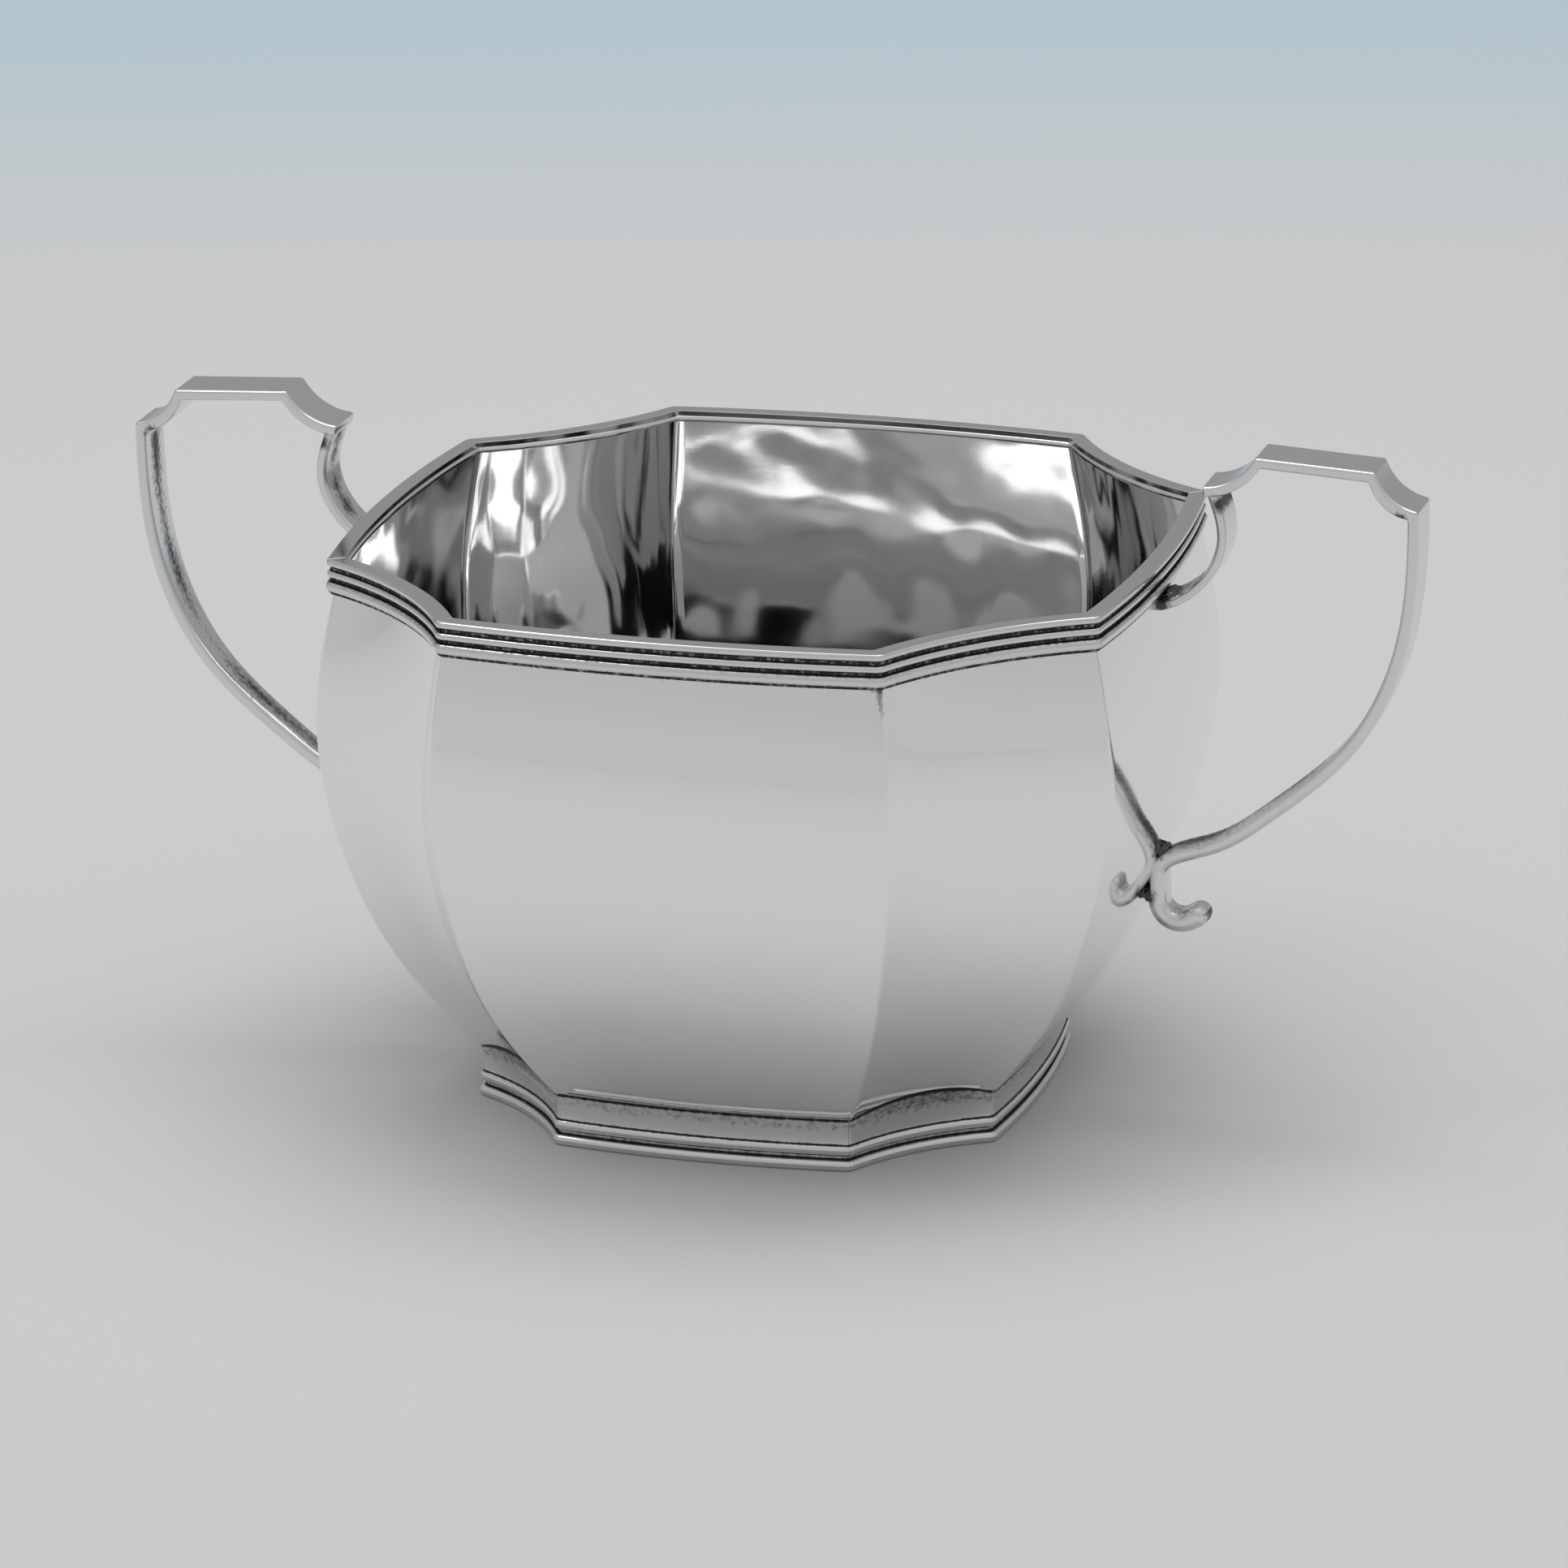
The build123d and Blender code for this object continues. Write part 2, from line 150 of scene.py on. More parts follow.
class BowlFinish(bpy.types.PropertyGroup):
    """Colours and polish."""

    silver: colour_setting("Silver", "Colour of clean polished silver", "#F6F6F6")
    inner_silver: colour_setting("Inner Silver", "Colour of the silver inside the bowl", "#E2E2E2")
    moulding_silver: colour_setting("Moulding Silver", "Colour of the mouldings", "#E0E0E0")
    handle_silver: colour_setting("Handle Silver", "Colour of the duller handles", "#E6E6E6")
    solder: colour_setting("Solder", "Colour of oxidised silver solder", "#6A6663")
    # also the colour of the painted shade on the foot and inside the handles' curls
    tarnish: colour_setting("Tarnish", "Colour of old tarnish in the grooves", "#2A2624")
    table: colour_setting("Table", "Colour of the paper the bowl stands on", "#CFCFCF")
    backdrop: colour_setting("Backdrop", "Colour the paper fades to behind", "#BBD0D8")
    polish: share_setting("Roughness", "Roughness of the polished faces", 0.055, 0.0, 1.0)


# ---------------- curves, as arrays of points


def spline(knots, values, where, first=None, last=None):
    """A cubic through rows of values at rising knots, read at `where`.

    Between two knots the value is the straight line plus (share^3 - share) times the bend at each
    end, and the bends make the slope run on unbroken. An end slope may be given, else the end is free.
    """
    knots = np.asarray(knots, float)
    values = np.asarray(values, float).reshape(len(knots), -1)
    gap = np.diff(knots)
    count = len(knots)
    table = np.zeros((count, count))
    right = np.zeros_like(values)
    rise = np.diff(values, axis=0) / gap[:, None]
    inner = np.arange(1, count - 1)
    table[inner, inner - 1] = gap[:-1]
    table[inner, inner] = 2 * (gap[:-1] + gap[1:])
    table[inner, inner + 1] = gap[1:]
    right[1:-1] = 6 * (rise[1:] - rise[:-1])
    table[0, 0] = table[-1, -1] = 1
    if first is not None:
        table[0, :2] = 2 * gap[0], gap[0]
        right[0] = 6 * (rise[0] - np.asarray(first, float))
    if last is not None:
        table[-1, -2:] = gap[-1], 2 * gap[-1]
        right[-1] = 6 * (np.asarray(last, float) - rise[-1])
    bend = np.linalg.solve(table, right)
    where = np.asarray(where, float)
    cell = np.clip(np.searchsorted(knots, where, side="right") - 1, 0, count - 2)
    step = gap[cell][:, None]
    high = (where - knots[cell])[:, None] / step
    low = 1 - high
    made = low * values[cell] + high * values[cell + 1]
    made += ((low ** 3 - low) * bend[cell] + (high ** 3 - high) * bend[cell + 1]) * step ** 2 / 6
    return made


def through(points, count, first=None, last=None):
    """A smooth path through points, its knots set by the straight distances between them."""
    knots = lengths(np.asarray(points, float))
    fine = spline(knots, points, np.linspace(0, knots[-1], count * 4), first, last)
    return evenly(fine, count)


def lengths(curve):
    """Distance travelled along a curve at each of its points."""
    return np.concatenate([[0], np.cumsum(np.linalg.norm(np.diff(curve, axis=0), axis=1))])


def pick(curve, index):
    """Points of a curve at whole or part indices, on the straight line between neighbours."""
    steps = np.arange(len(curve))
    return np.stack([np.interp(index, steps, column) for column in np.asarray(curve).T], axis=1)


def evenly(curve, count):
    """The same curve with its points an equal distance apart."""
    travelled = lengths(curve)
    return pick(curve, np.interp(np.linspace(0, travelled[-1], count), travelled, np.arange(len(curve))))


def bowed(start, end, sag, count):
    """An arc between two points that stands out from its chord by `sag`, to the right as it runs."""
    start, end = np.asarray(start, float), np.asarray(end, float)
    chord = end - start
    half = np.linalg.norm(chord) / 2
    if abs(sag) < 1e-6:
        return start + chord * np.linspace(0, 1, count)[:, None]
    radius = (half ** 2 + sag ** 2) / (2 * abs(sag))
    swing = math.asin(half / radius)
    along = chord / (2 * half)
    side = np.array([along[1], -along[0]]) * math.copysign(1, sag)
    angle = np.linspace(-swing, swing, count)[:, None]
    middle = (start + end) / 2 - side * (radius - abs(sag))
    return middle + along * (radius * np.sin(angle)) + side * (radius * np.cos(angle))


def joined(pieces):
    """Curve pieces end to end, each shared point kept once."""
    return np.concatenate([piece if place == 0 else piece[1:] for place, piece in enumerate(pieces)])


def path_of(start, *runs):
    """A path by runs, each given as the end it goes to, the sag of its arc and its count of points."""
    pieces = []
    for across, upward, sag, count in runs:
        pieces.append(bowed(start, (across, upward), sag, count))
        start = (across, upward)
    return joined(pieces)


def softened(curve, reach, closed=False):
    """The moving average of a curve over `reach` points each way, which rounds its corners only."""
    reach = int(max(1, reach))
    if closed:
        padded = np.concatenate([curve[-reach - 1:-1], curve, curve[1:reach + 1]])
    else:
        head = 2 * curve[0] - curve[reach:0:-1]
        tail = 2 * curve[-1] - curve[-2:-reach - 2:-1]
        padded = np.concatenate([head, curve, tail])
    total = np.concatenate([np.zeros((1, curve.shape[1])), np.cumsum(padded, axis=0)])
    width = 2 * reach + 1
    return (total[width:] - total[:-width]) / width


def spun(angle):
    """The matrix that turns points, one to a row, about the upright axis."""
    return np.array([[math.cos(angle), math.sin(angle)], [-math.sin(angle), math.cos(angle)]])


def stations(curve, count, bend):
    """Indices along a curve at equal steps of length plus `bend` times the angle turned."""
    step = np.diff(curve, axis=0)
    heading = np.unwrap(np.arctan2(step[:, 1], step[:, 0]))
    weight = np.linalg.norm(step, axis=1)
    weight[1:] += bend * np.abs(np.diff(heading))
    travelled = np.concatenate([[0], np.cumsum(weight)])
    return np.interp(np.linspace(0, travelled[-1], count), travelled, np.arange(len(curve)))


def normals(curve, closed=False):
    """Unit directions square to a curve, to the right of the way it runs."""
    if closed:
        step = np.roll(curve, -1, axis=0) - np.roll(curve, 1, axis=0)
    else:
        step = np.gradient(curve, axis=0)
    step = step / np.linalg.norm(step, axis=1)[:, None]
    return np.stack([step[:, 1], -step[:, 0]], axis=1)


# ---------------- meshes


def grid_faces(rows, columns, wrap_rows=False, wrap_columns=False):
    """Four-sided faces of a grid of points stored row by row."""
    row = np.arange(rows if wrap_rows else rows - 1)
    column = np.arange(columns if wrap_columns else columns - 1)
    row, column = [part.ravel() for part in np.meshgrid(row, column, indexing="ij")]
    after, beside = (row + 1) % rows, (column + 1) % columns
    return np.stack([row * columns + column, row * columns + beside,
                     after * columns + beside, after * columns + column], axis=1)


def volume(points, polygons):
    """Six times the volume inside rows of corners, less than nothing where they point inwards."""
    corner = points[polygons]
    return float((np.cross(corner[:, 1:-1], corner[:, 2:]) * corner[:, :1]).sum())


def place_piece(name, points, quads, caps, material, replaced, tarnish=0.0):
    """Writes a closed mesh in millimetres, smooth all over, riding on the body for its CAD nodes."""
    if volume(points, quads) + sum(volume(points, cap[None]) for cap in caps) < 0:
        quads = quads[:, ::-1]
        caps = [cap[::-1] for cap in caps]
    mesh = bpy.data.meshes.new(name)
    mesh.from_pydata((points * MM).tolist(), [], quads.tolist() + [list(map(int, cap)) for cap in caps])
    mesh.polygons.foreach_set("use_smooth", [True] * len(mesh.polygons))
    mark = mesh.attributes.new("tarnish", "FLOAT", "POINT")
    mark.data.foreach_set("value", np.zeros(len(points)) + np.ravel(tarnish))
    mesh.materials.append(material)
    mesh.update()
    if mesh.validate():
        raise RuntimeError(name + " has broken faces")
    piece = bpy.data.objects.new(name, mesh)
    bpy.context.scene.collection.objects.link(piece)
    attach(piece, BODY)
    if replaced:
        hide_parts(*replaced)
    return piece


def place_tube(name, points, material, replaced, tarnish=0.0):
    """Places a grid of points that closes round its columns, with a flat cap at each end."""
    rows, columns = points.shape[:2]
    ring = np.arange(columns)
    caps = [ring[::-1], ring + (rows - 1) * columns]
    faces = grid_faces(rows, columns, wrap_columns=True)
    return place_piece(name, points.reshape(-1, 3), faces, caps, material, replaced, tarnish)


# ---------------- the eight-sided outline


def side_arc(half, sizes):
    """Radius and centre distance of a long side's arc."""
    near = half * sizes.corner_share
    rise = half * sizes.side_bow
    radius = (near ** 2 + rise ** 2) / (2 * rise)
    return radius, half + rise - radius


def corner_arc(half, sizes):
    """Radius and centre distance, along the diagonal, of a short side's arc."""
    near = half * sizes.corner_share
    chord = (half - near) / math.sqrt(2)
    dip = half * sizes.corner_dip
    radius = (chord ** 2 + dip ** 2) / (2 * dip)
    return radius, (half + near) / math.sqrt(2) - dip + radius


def unit_outline(sizes, count):
    """The outline for a half width of one: bowed side, hollow corner, four times round.

    Each upright edge is rounded by a moving average, and points crowd where the outline turns.
    """
    near = sizes.corner_share
    fine = 0.0004
    pieces = []
    for quarter in range(4):
        spin = spun(math.pi / 2 * quarter)
        side = bowed((1, -near), (1, near), sizes.side_bow, int(2 * near / fine))
        gap = math.hypot(1 - near, 1 - near)
        corner = bowed((1, near), (near, 1), -sizes.corner_dip, int(gap / fine))
        pieces += [side @ spin, corner @ spin]
    reach = sizes.arris_round / sizes.rim_half / fine
    loop = joined(pieces)
    loop = softened(loop, reach, closed=True)
    return pick(loop, stations(loop, count + 1, 0.16)[:-1])


def wall_profile(scene):
    """Half width and height up the outside of the wall, a spline through six measured sections."""
    rim = scene.sugar_bowl_body.rim_half / MM
    foot = scene.sugar_bowl_mouldings.foot_half / MM + FOOT_LEDGE
    rows = [(foot, WALL_LOW), (rim - 7.5, RIM_TOP * 0.266), (rim - 1.1, RIM_TOP * 0.465),
            (rim + 1.8, RIM_TOP * 0.706), (rim - 0.1, RIM_TOP - 8.2), (rim - 1.7, WALL_TOP)]
    return through(rows, 1200)


def inner_profile(scene, outer):
    """The same for the inside: the half width less the sheet's thickness measured along it."""
    slope = np.gradient(outer[:, 0]) / np.gradient(outer[:, 1])
    thick = scene.sugar_bowl_body.wall_thick / MM
    return np.stack([outer[:, 0] - thick * np.sqrt(1 + slope ** 2), outer[:, 1]], axis=1)


def wall_face(scene, height):
    """X of the wall's outside at a height, in the middle of a long side."""
    wall = wall_profile(scene)
    return np.interp(height, wall[:, 1], wall[:, 0]) * (1 + scene.sugar_bowl_body.side_bow)


def loft(loop, outline):
    """A grid of points: the outline drawn at each half width and height of a loop."""
    heights = np.broadcast_to(loop[:, None, 1:], (len(loop), len(outline), 1))
    return np.concatenate([loop[:, None, :1] * outline[None], heights], axis=2)


# ---------------- operators: bowl


class BOWL_OT_wall(bpy.types.Operator):
    """One sheet wrapped to the eight-sided outline and drawn in at the bottom"""

    bl_idname = "sugar_bowl.wall"
    bl_label = "Wall"

    def execute(self, context):
        sizes = context.scene.sugar_bowl_body
        outline = unit_outline(sizes, 336)
        outer = wall_profile(context.scene)
        up = evenly(outer, 86)
        loop = np.concatenate([up, evenly(inner_profile(context.scene, outer), 86)[::-1]])
        points = loft(loop, outline)
        faces = grid_faces(len(loop), len(outline), wrap_rows=True, wrap_columns=True)
        stain = seam_stain(points, sizes)
        wall = place_piece("bowl_wall", points.reshape(-1, 3), faces, [], polished_silver(), ["wall"],
                           stain)
        wall.data.materials.append(inner_silver())
        inside = (np.arange(len(faces)) // len(outline) >= len(up)).astype(np.int32)
        wall.data.polygons.foreach_set("material_index", inside)
        return {"FINISHED"}


def seam_stain(points, sizes):
    """Tarnish held by the solder seam down the front right arris and under the rim, from 0 to 1.

    It falls off with distance from the seam's line over half a millimetre, outside the wall only,
    and is strongest just below the rim.
    """
    x, y, z = points[..., 0], points[..., 1], points[..., 2]
    off = np.abs(-y * sizes.corner_share - x)
    outside = np.arange(points.shape[0])[:, None] < points.shape[0] // 2
    near = np.exp(-(off / 0.55) ** 2) * (y < 0) * outside
    high = np.clip((z - (RIM_TOP - 12.5)) / 8.0, 0, 1)
    under = np.exp(-((z - (RIM_TOP - 5.1)) / 0.22) ** 2) * outside
    return np.clip(near * high * 0.9 + under * 0.35, 0, 1)


class BOWL_OT_floor(bpy.types.Operator):
    """The flat bottom plate, let into the lower edge of the wall"""

    bl_idname = "sugar_bowl.floor"
    bl_label = "Floor"

    def execute(self, context):
        outline = unit_outline(context.scene.sugar_bowl_body, 240)
        inner = inner_profile(context.scene, wall_profile(context.scene))
        clear = 0.02
        low, high = np.interp([WALL_LOW, FLOOR_TOP], inner[:, 1], inner[:, 0]) - clear
        share = np.linspace(0.004, 1, 26)    # from a pinhole in the middle to the wall
        upper = np.stack([share * high, np.full_like(share, FLOOR_TOP)], axis=1)
        lower = np.stack([share[::-1] * low, np.full_like(share, WALL_LOW)], axis=1)
        points = loft(np.concatenate([upper, lower]), outline)
        place_tube("bowl_floor", points, inner_silver(), ["floor_plate"])
        return {"FINISHED"}


# ---------------- operators: mouldings


def mitre(half, sizes):
    """A corner of the outline, and the way its mitre runs: midway between the two arcs' normals."""
    corner = np.array([half, half * sizes.corner_share])
    side_out = corner - (side_arc(half, sizes)[1], 0)
    reach = corner_arc(half, sizes)[1] / math.sqrt(2)
    corner_out = np.array([reach, reach]) - corner
    outwards = side_out / np.linalg.norm(side_out) + corner_out / np.linalg.norm(corner_out)
    return corner, outwards / np.linalg.norm(outwards)


def arch_share(heights, outs, share, low, top):
    """How far each point of a lip, above `low` and near the front, joins in an arch along a length."""
    front = outs > -0.2
    lip = np.clip((heights - low) / (top - low), 0, 1) ** 2 * front
    return lip * (1 - (2 * share - 1) ** 2)


def moulding_length(profile, half, sizes, gap, worn, short, arch=None):
    """Points of one length: each profile point runs along its own arc from mitre to mitre.

    The arc's radius is the datum line's plus the point's distance outside it (less it, on a short
    side, whose centre is outside the bowl). Where the arc crosses the mitre line, corner plus
    distance times direction, gives its end. Towards each end the outer points fall back as a
    parabola over the worn length, so that two lengths meet in a rounded corner, and the last
    rows are drawn in along the profile's own normal, as a filed edge. An arch, given as the two
    heights its lip lies between, its rise and how far it comes out, lifts a short side's lip.
    The second result is how far each point joins in that arch.
    """
    filed, slant = 0.1, math.tan(math.radians(35))
    corner, outwards = mitre(half, sizes)
    if short:
        corner, outwards = corner @ spun(-math.pi / 4), outwards @ spun(-math.pi / 4)
        radius, centre = corner_arc(half, sizes)
        sign = -1
    else:
        radius, centre = side_arc(half, sizes)
        sign = 1
    chord = 2 * abs(corner[1])
    steps = np.concatenate([[0, 0.03], np.linspace(0.2, 1.0, 7) * max(worn, 0.3)])
    middle = np.linspace(steps[-1] + 0.5, chord - steps[-1] - 0.5, 22)
    place = np.concatenate([steps, middle, chord - steps[::-1]])
    share = place / chord
    near = np.minimum(place, chord - place)
    draw = gap * np.clip(1 - near / filed, 0, 1) ** 2
    fall = slant * worn / 2 * np.clip(1 - near / worn, 0, 1) ** 2
    facing = normals(profile, closed=True)
    shape = profile[None] - facing[None] * draw[:, None, None]
    outer_share = np.clip((profile[:, 0] + 1.2) / 0.8, 0, 1)
    shape[..., 0] -= fall[:, None] * outer_share
    joins = np.zeros(shape.shape[:2])
    if arch and short:
        low, top, rise, out = arch
        joins = arch_share(shape[..., 1], shape[..., 0], share[:, None], low, top)
        shape[..., 0] += joins * out
        shape[..., 1] += joins * rise
    reach = radius + sign * shape[..., 0]
    start = corner - (centre, 0)
    along = start @ outwards
    far = np.sqrt(np.maximum(reach ** 2 - (start @ start) + along ** 2, 0))
    run = -along + np.where(abs(-along + far) < abs(-along - far), far, -far)
    end = start + run[..., None] * outwards
    swing = np.arctan2(end[..., 1], sign * end[..., 0])
    angle = swing * (2 * share[:, None] - 1)
    x = centre + sign * reach * np.cos(angle)
    y = reach * np.sin(angle)
    return np.stack([x, y, shape[..., 1]], axis=2), joins


def cavity(profile, width):
    """How deep each profile point lies below its neighbours within `width` of it, 0 to 1."""
    near = np.abs(profile[:, None, 1] - profile[None, :, 1]) < width
    crest = np.where(near, profile[None, :, 0], -99).max(axis=1)
    return np.clip((crest - profile[:, 0]) / 0.45, 0, 1)


def crease_marks(profile, creases, base):
    """Dark marks in a profile, each given by its place, size and strength, a bell round each: tarnishing
    in creases, painted shade on an open face.
    """
    made = np.zeros(len(profile)) + base
    for out, up, size, strength in creases:
        off = np.hypot(profile[:, 0] - out, profile[:, 1] - up)
        made = np.maximum(made, strength * np.exp(-(off / size) ** 2))
    return made * (profile[:, 0] > -0.9)


def ring_of_lengths(label, profile, half, sizes, gap, worn, tarnish, arch=None):
    """Eight lengths round the bowl, each turned to its own side, with old tarnishing and painted shade
    under any arch.
    """
    for short, names in ((False, SIDES), (True, CORNERS)):
        points, joins = moulding_length(profile, half, sizes, gap, worn, short, arch)
        # under an arch: tarnishing, and painted shade, a dark reflection of the shadowed table
        marks = tarnish + 0.38 * joins
        for quarter, name in enumerate(names):
            spin = spun(math.pi / 2 * quarter + (math.pi / 4 if short else 0))
            turned = np.concatenate([points[..., :2] @ spin, points[..., 2:]], axis=2)
            place_tube(f"{label}_moulding_{name}", turned, tarnished_and_shaded_silver(),
                       [f"{label}_{name}"], marks)


def closed_profile(loop, count, reach, bend):
    """A closed moulding section: evenly spaced, its corners rounded, then fewer points picked."""
    fine = 6000
    loop = evenly(loop, fine)
    loop = softened(loop, reach * fine / lengths(loop)[-1], closed=True)
    return pick(loop, stations(loop, count + 1, bend)[:-1])


class BOWL_OT_rim(bpy.types.Operator):
    """Eight mitred lengths of reeded moulding that cap the wall's edge"""

    bl_idname = "sugar_bowl.rim"
    bl_label = "Rim Moulding"

    def execute(self, context):
        sizes = context.scene.sugar_bowl_body
        mould = context.scene.sugar_bowl_mouldings
        deep = -mould.groove_depth / MM
        back = -mould.rim_face / MM
        steps = [0, 0.95, 0.70, 0.95, 0.60, 1.35, 0.45]
        top, bead_1, groove_1, bead_2, groove_2, bead_3, bottom = RIM_TOP - np.cumsum(steps)
        seat = -1.7 + 0.12
        foot = seat + (WALL_TOP - bottom) * 1.6 / 7.4
        profile = closed_profile(path_of(
            (back, top), (-0.25, top, 0, 400), (-0.25, bead_1, -0.25, 300), (deep, bead_1, 0, 60),
            (deep, groove_1, 0, 120), (-0.30, groove_1, 0, 60), (-0.30, bead_2, -0.25, 300),
            (deep, bead_2, 0, 60), (deep, groove_2, 0, 120), (-0.15, groove_2, 0, 60),
            (-0.15, bead_3, -0.30, 300), (-0.35, bead_3, 0, 60), (-0.40, bottom, 0, 60),
            (foot, bottom, 0, 60), (seat, WALL_TOP, 0, 60), (back, WALL_TOP, 0, 60),
            (back, top, 0, 60)), 190, 0.045, 0.16)
        creases = ((deep, bead_1, 0.30, 1.2), (deep, groove_1, 0.24, 1.1), (deep, bead_2, 0.26, 1.1),
                   (deep, groove_2, 0.24, 1.2), (-0.33, bead_3, 0.16, 1.1))
        below_top_bead = profile[:, 1] < top - 0.9
        marks = crease_marks(profile, creases, cavity(profile, 0.7) * below_top_bead * 0.85)
        ring_of_lengths("rim", profile, sizes.rim_half / MM, sizes, mould.mitre_gap / MM,
                        mould.rim_corner / MM, marks)
        return {"FINISHED"}


class BOWL_OT_foot(bpy.types.Operator):
    """Eight mitred lengths of moulding that the bowl stands on"""

    bl_idname = "sugar_bowl.foot"
    bl_label = "Foot Moulding"

    def execute(self, context):
        sizes = context.scene.sugar_bowl_body
        mould = context.scene.sugar_bowl_mouldings
        low, groove_top, band, top = 1.50, 2.25, 3.70, WALL_LOW
        groove = 0.3 - mould.foot_groove / MM
        back = -1.30
        profile = closed_profile(path_of(
            (back, 0), (0.25, 0, 0, 200), (0.25, low, 0.45, 300), (groove, low, 0, 60),
            (groove, groove_top, 0, 120), (0.15, groove_top, 0, 60), (0.10, band, 0.375, 300),
            (FOOT_LEDGE, top, -0.19, 400), (back, top, 0, 200), (back, 0, 0, 300)), 150, 0.05, 0.2)
        # the last bell is painted shade, a dark reflection of the shadowed table on the upper collar; the
        # others mark tarnishing in the creases
        creases = ((groove, low, 0.30, 1.3), (groove, groove_top, 0.26, 1.3), (0.12, band, 0.20, 1.2),
                   (FOOT_LEDGE, top, 0.30, 1.0), (0.10, top - 0.9, 1.1, 0.36))
        marks = crease_marks(profile, creases, 0.10)
        rise = 2.3
        wall = wall_profile(context.scene)
        out = np.interp(top + rise, wall[:, 1], wall[:, 0]) - mould.foot_half / MM - FOOT_LEDGE
        arch = (band, top, rise, out * 1.06 + 0.12)
        ring_of_lengths("foot", profile, mould.foot_half / MM, sizes, mould.mitre_gap / MM,
                        mould.foot_corner / MM, marks, arch)
        return {"FINISHED"}


# ---------------- operators: handles


def bar_points(outer, inner, half_wide, radius, index, near_end=0.0):
    """A bar between two faces: at each station a rounded rectangle spans from one to the other.

    A point of the section is the middle, plus the way across the bar's width times a corner's
    place plus the radius's cosine, plus the way from face to face times the same with the sine.
    The section shrinks as a quarter circle over the last `near_end` before the first station.
    """
    one, other = pick(outer, index), pick(inner, index)
    wide = np.interp(index, np.arange(len(half_wide)), half_wide)
    travelled = np.interp(index, np.arange(len(outer)), lengths((outer + inner) / 2))
    inside = np.clip(near_end - travelled + travelled[0], 0, near_end)
    drawn = near_end - np.sqrt(np.maximum(near_end ** 2 - inside ** 2, 0))
    span = one - other
    thick = np.linalg.norm(span, axis=1)
    span = span / np.maximum(thick, 1e-9)[:, None]
    thick = np.maximum(thick - 2 * drawn, 0.02)
    wide = np.maximum(wide - drawn, 0.02)
    middle = (one + other) / 2
    quarter = np.repeat(np.arange(4), 6)
    angle = (np.tile(np.linspace(0, 1, 6), 4) + quarter) * math.pi / 2
    across, upward = np.cos(angle), np.sin(angle)
    corner_y, corner_rise = np.array([1, -1, -1, 1])[quarter], np.array([1, 1, -1, -1])[quarter]
    round_off = np.minimum(radius, np.minimum(thick * 0.48, wide * 0.9))[:, None]
    y = supported(corner_y * (wide[:, None] - round_off) + round_off * across)
    rise = supported(corner_rise * (thick[:, None] / 2 - round_off) + round_off * upward)
    return np.stack([middle[:, :1] + rise * span[:, :1], y, middle[:, 1:] + rise * span[:, 1:]], axis=2)


def supported(values):
    """Adds a point just inside each flat, beside the rounded edges, so that flats shade flat."""
    columns = values.shape[1]
    made = []
    for start in range(0, columns, 6):
        made.append(values[:, start:start + 6])
        here, after = values[:, start + 5], values[:, (start + 6) % columns]
        for share in (0.07, 0.5, 0.93):
            made.append((here + (after - here) * share)[:, None])
    return np.concatenate(made, axis=1)


def place_pair(name, points, material, node, tarnish):
    """A tube on the right and its mirror image on the left. Names have {} where the side goes."""
    for side, sign in (("right", 1), ("left", -1)):
        replaced = [node.format(side)] if node else []
        place_tube(name.format(side), points * (sign, 1, 1), material, replaced, tarnish)


class BOWL_OT_handle_tops(bpy.types.Operator):
    """The flat strap of each handle, with a cove at each end"""

    bl_idname = "sugar_bowl.handle_tops"
    bl_label = "Handle Tops"

    def execute(self, context):
        rim = context.scene.sugar_bowl_body.rim_half / MM
        handle = context.scene.sugar_bowl_handles
        thick = handle.strap_thick / MM
        tip = np.array([rim + 7.5, TIP_Z])
        shoulder = np.array([rim + 14.9, RIM_TOP + 15.6])
        knee = np.array([rim + 31.6, RIM_TOP + 14.7])
        elbow = np.array([STRAP_OUT, ELBOW_Z])
        tip_in = tip + (0.2, -thick)
        shoulder_in = shoulder + (thick * 0.45, -thick)
        knee_in = knee + (-thick * 0.55, -thick)
        elbow_in = elbow + (-thick, -thick * 0.8)
        cove = 1.15
        faces = []
        for first, second, third, last in ((tip, shoulder, knee, elbow),
                                           (tip_in, shoulder_in, knee_in, elbow_in)):
            face = path_of(first, (*second, cove, 440), (*third, 0, 840), (*last, cove, 400),
                           (last[0], STRAP_END_Z, 0, 110))
            faces.append(softened(face, 22))
        outer, inner = faces
        index = stations(outer, 150, 1.6)
        near_ends = np.concatenate([np.linspace(0, 16, 9), len(outer) - 1.0 - np.array([2, 8, 30])])
        index = np.unique(np.concatenate([index, near_ends]))
        half_wide = np.full(len(outer), handle.strap_wide / MM / 2)
        points = bar_points(outer, inner, half_wide, handle.edge_round / MM, index, near_end=0.3)
        marks = strap_stain_and_shade(points, 0.2, INNER_FACE, (tip_in + (1.6, -0.5), 1.1),
                            (elbow_in + (-1.0, 0.0), 1.2))
        place_pair("handle_{}_strap", points, handle_silver(), "handle_{}_top", marks)
        return {"FINISHED"}


def strap_stain_and_shade(points, share, columns, *spots):
    """Marks on a bar: a streak of tarnishing down the middle of one face, and a bell round each spot.

    The streak has the share given where the face's middle is, falls off over 2.1 mm to each side,
    and swells and fades along the bar as the product of two sine waves. Its columns are those
    of the face it lies on. A spot is a place in the handle's side view, with its size: near a
    joint it marks tarnishing, inside a curl it marks painted shade, a dark reflection.
    """
    made = np.zeros(points.shape[:2])
    along = np.arange(points.shape[0])[:, None] / points.shape[0]
    swell = 0.75 + 0.35 * np.sin(23 * along + 0.6) * np.sin(9 * along + 1.9)
    made[:, columns] = share * swell * np.exp(-(points[:, columns, 1] / 2.1) ** 2)
    for centre, size in spots:
        off = np.hypot(points[..., 0] - centre[0], points[..., 2] - centre[1])
        made = np.maximum(made, np.exp(-(off / size) ** 2))
    return made


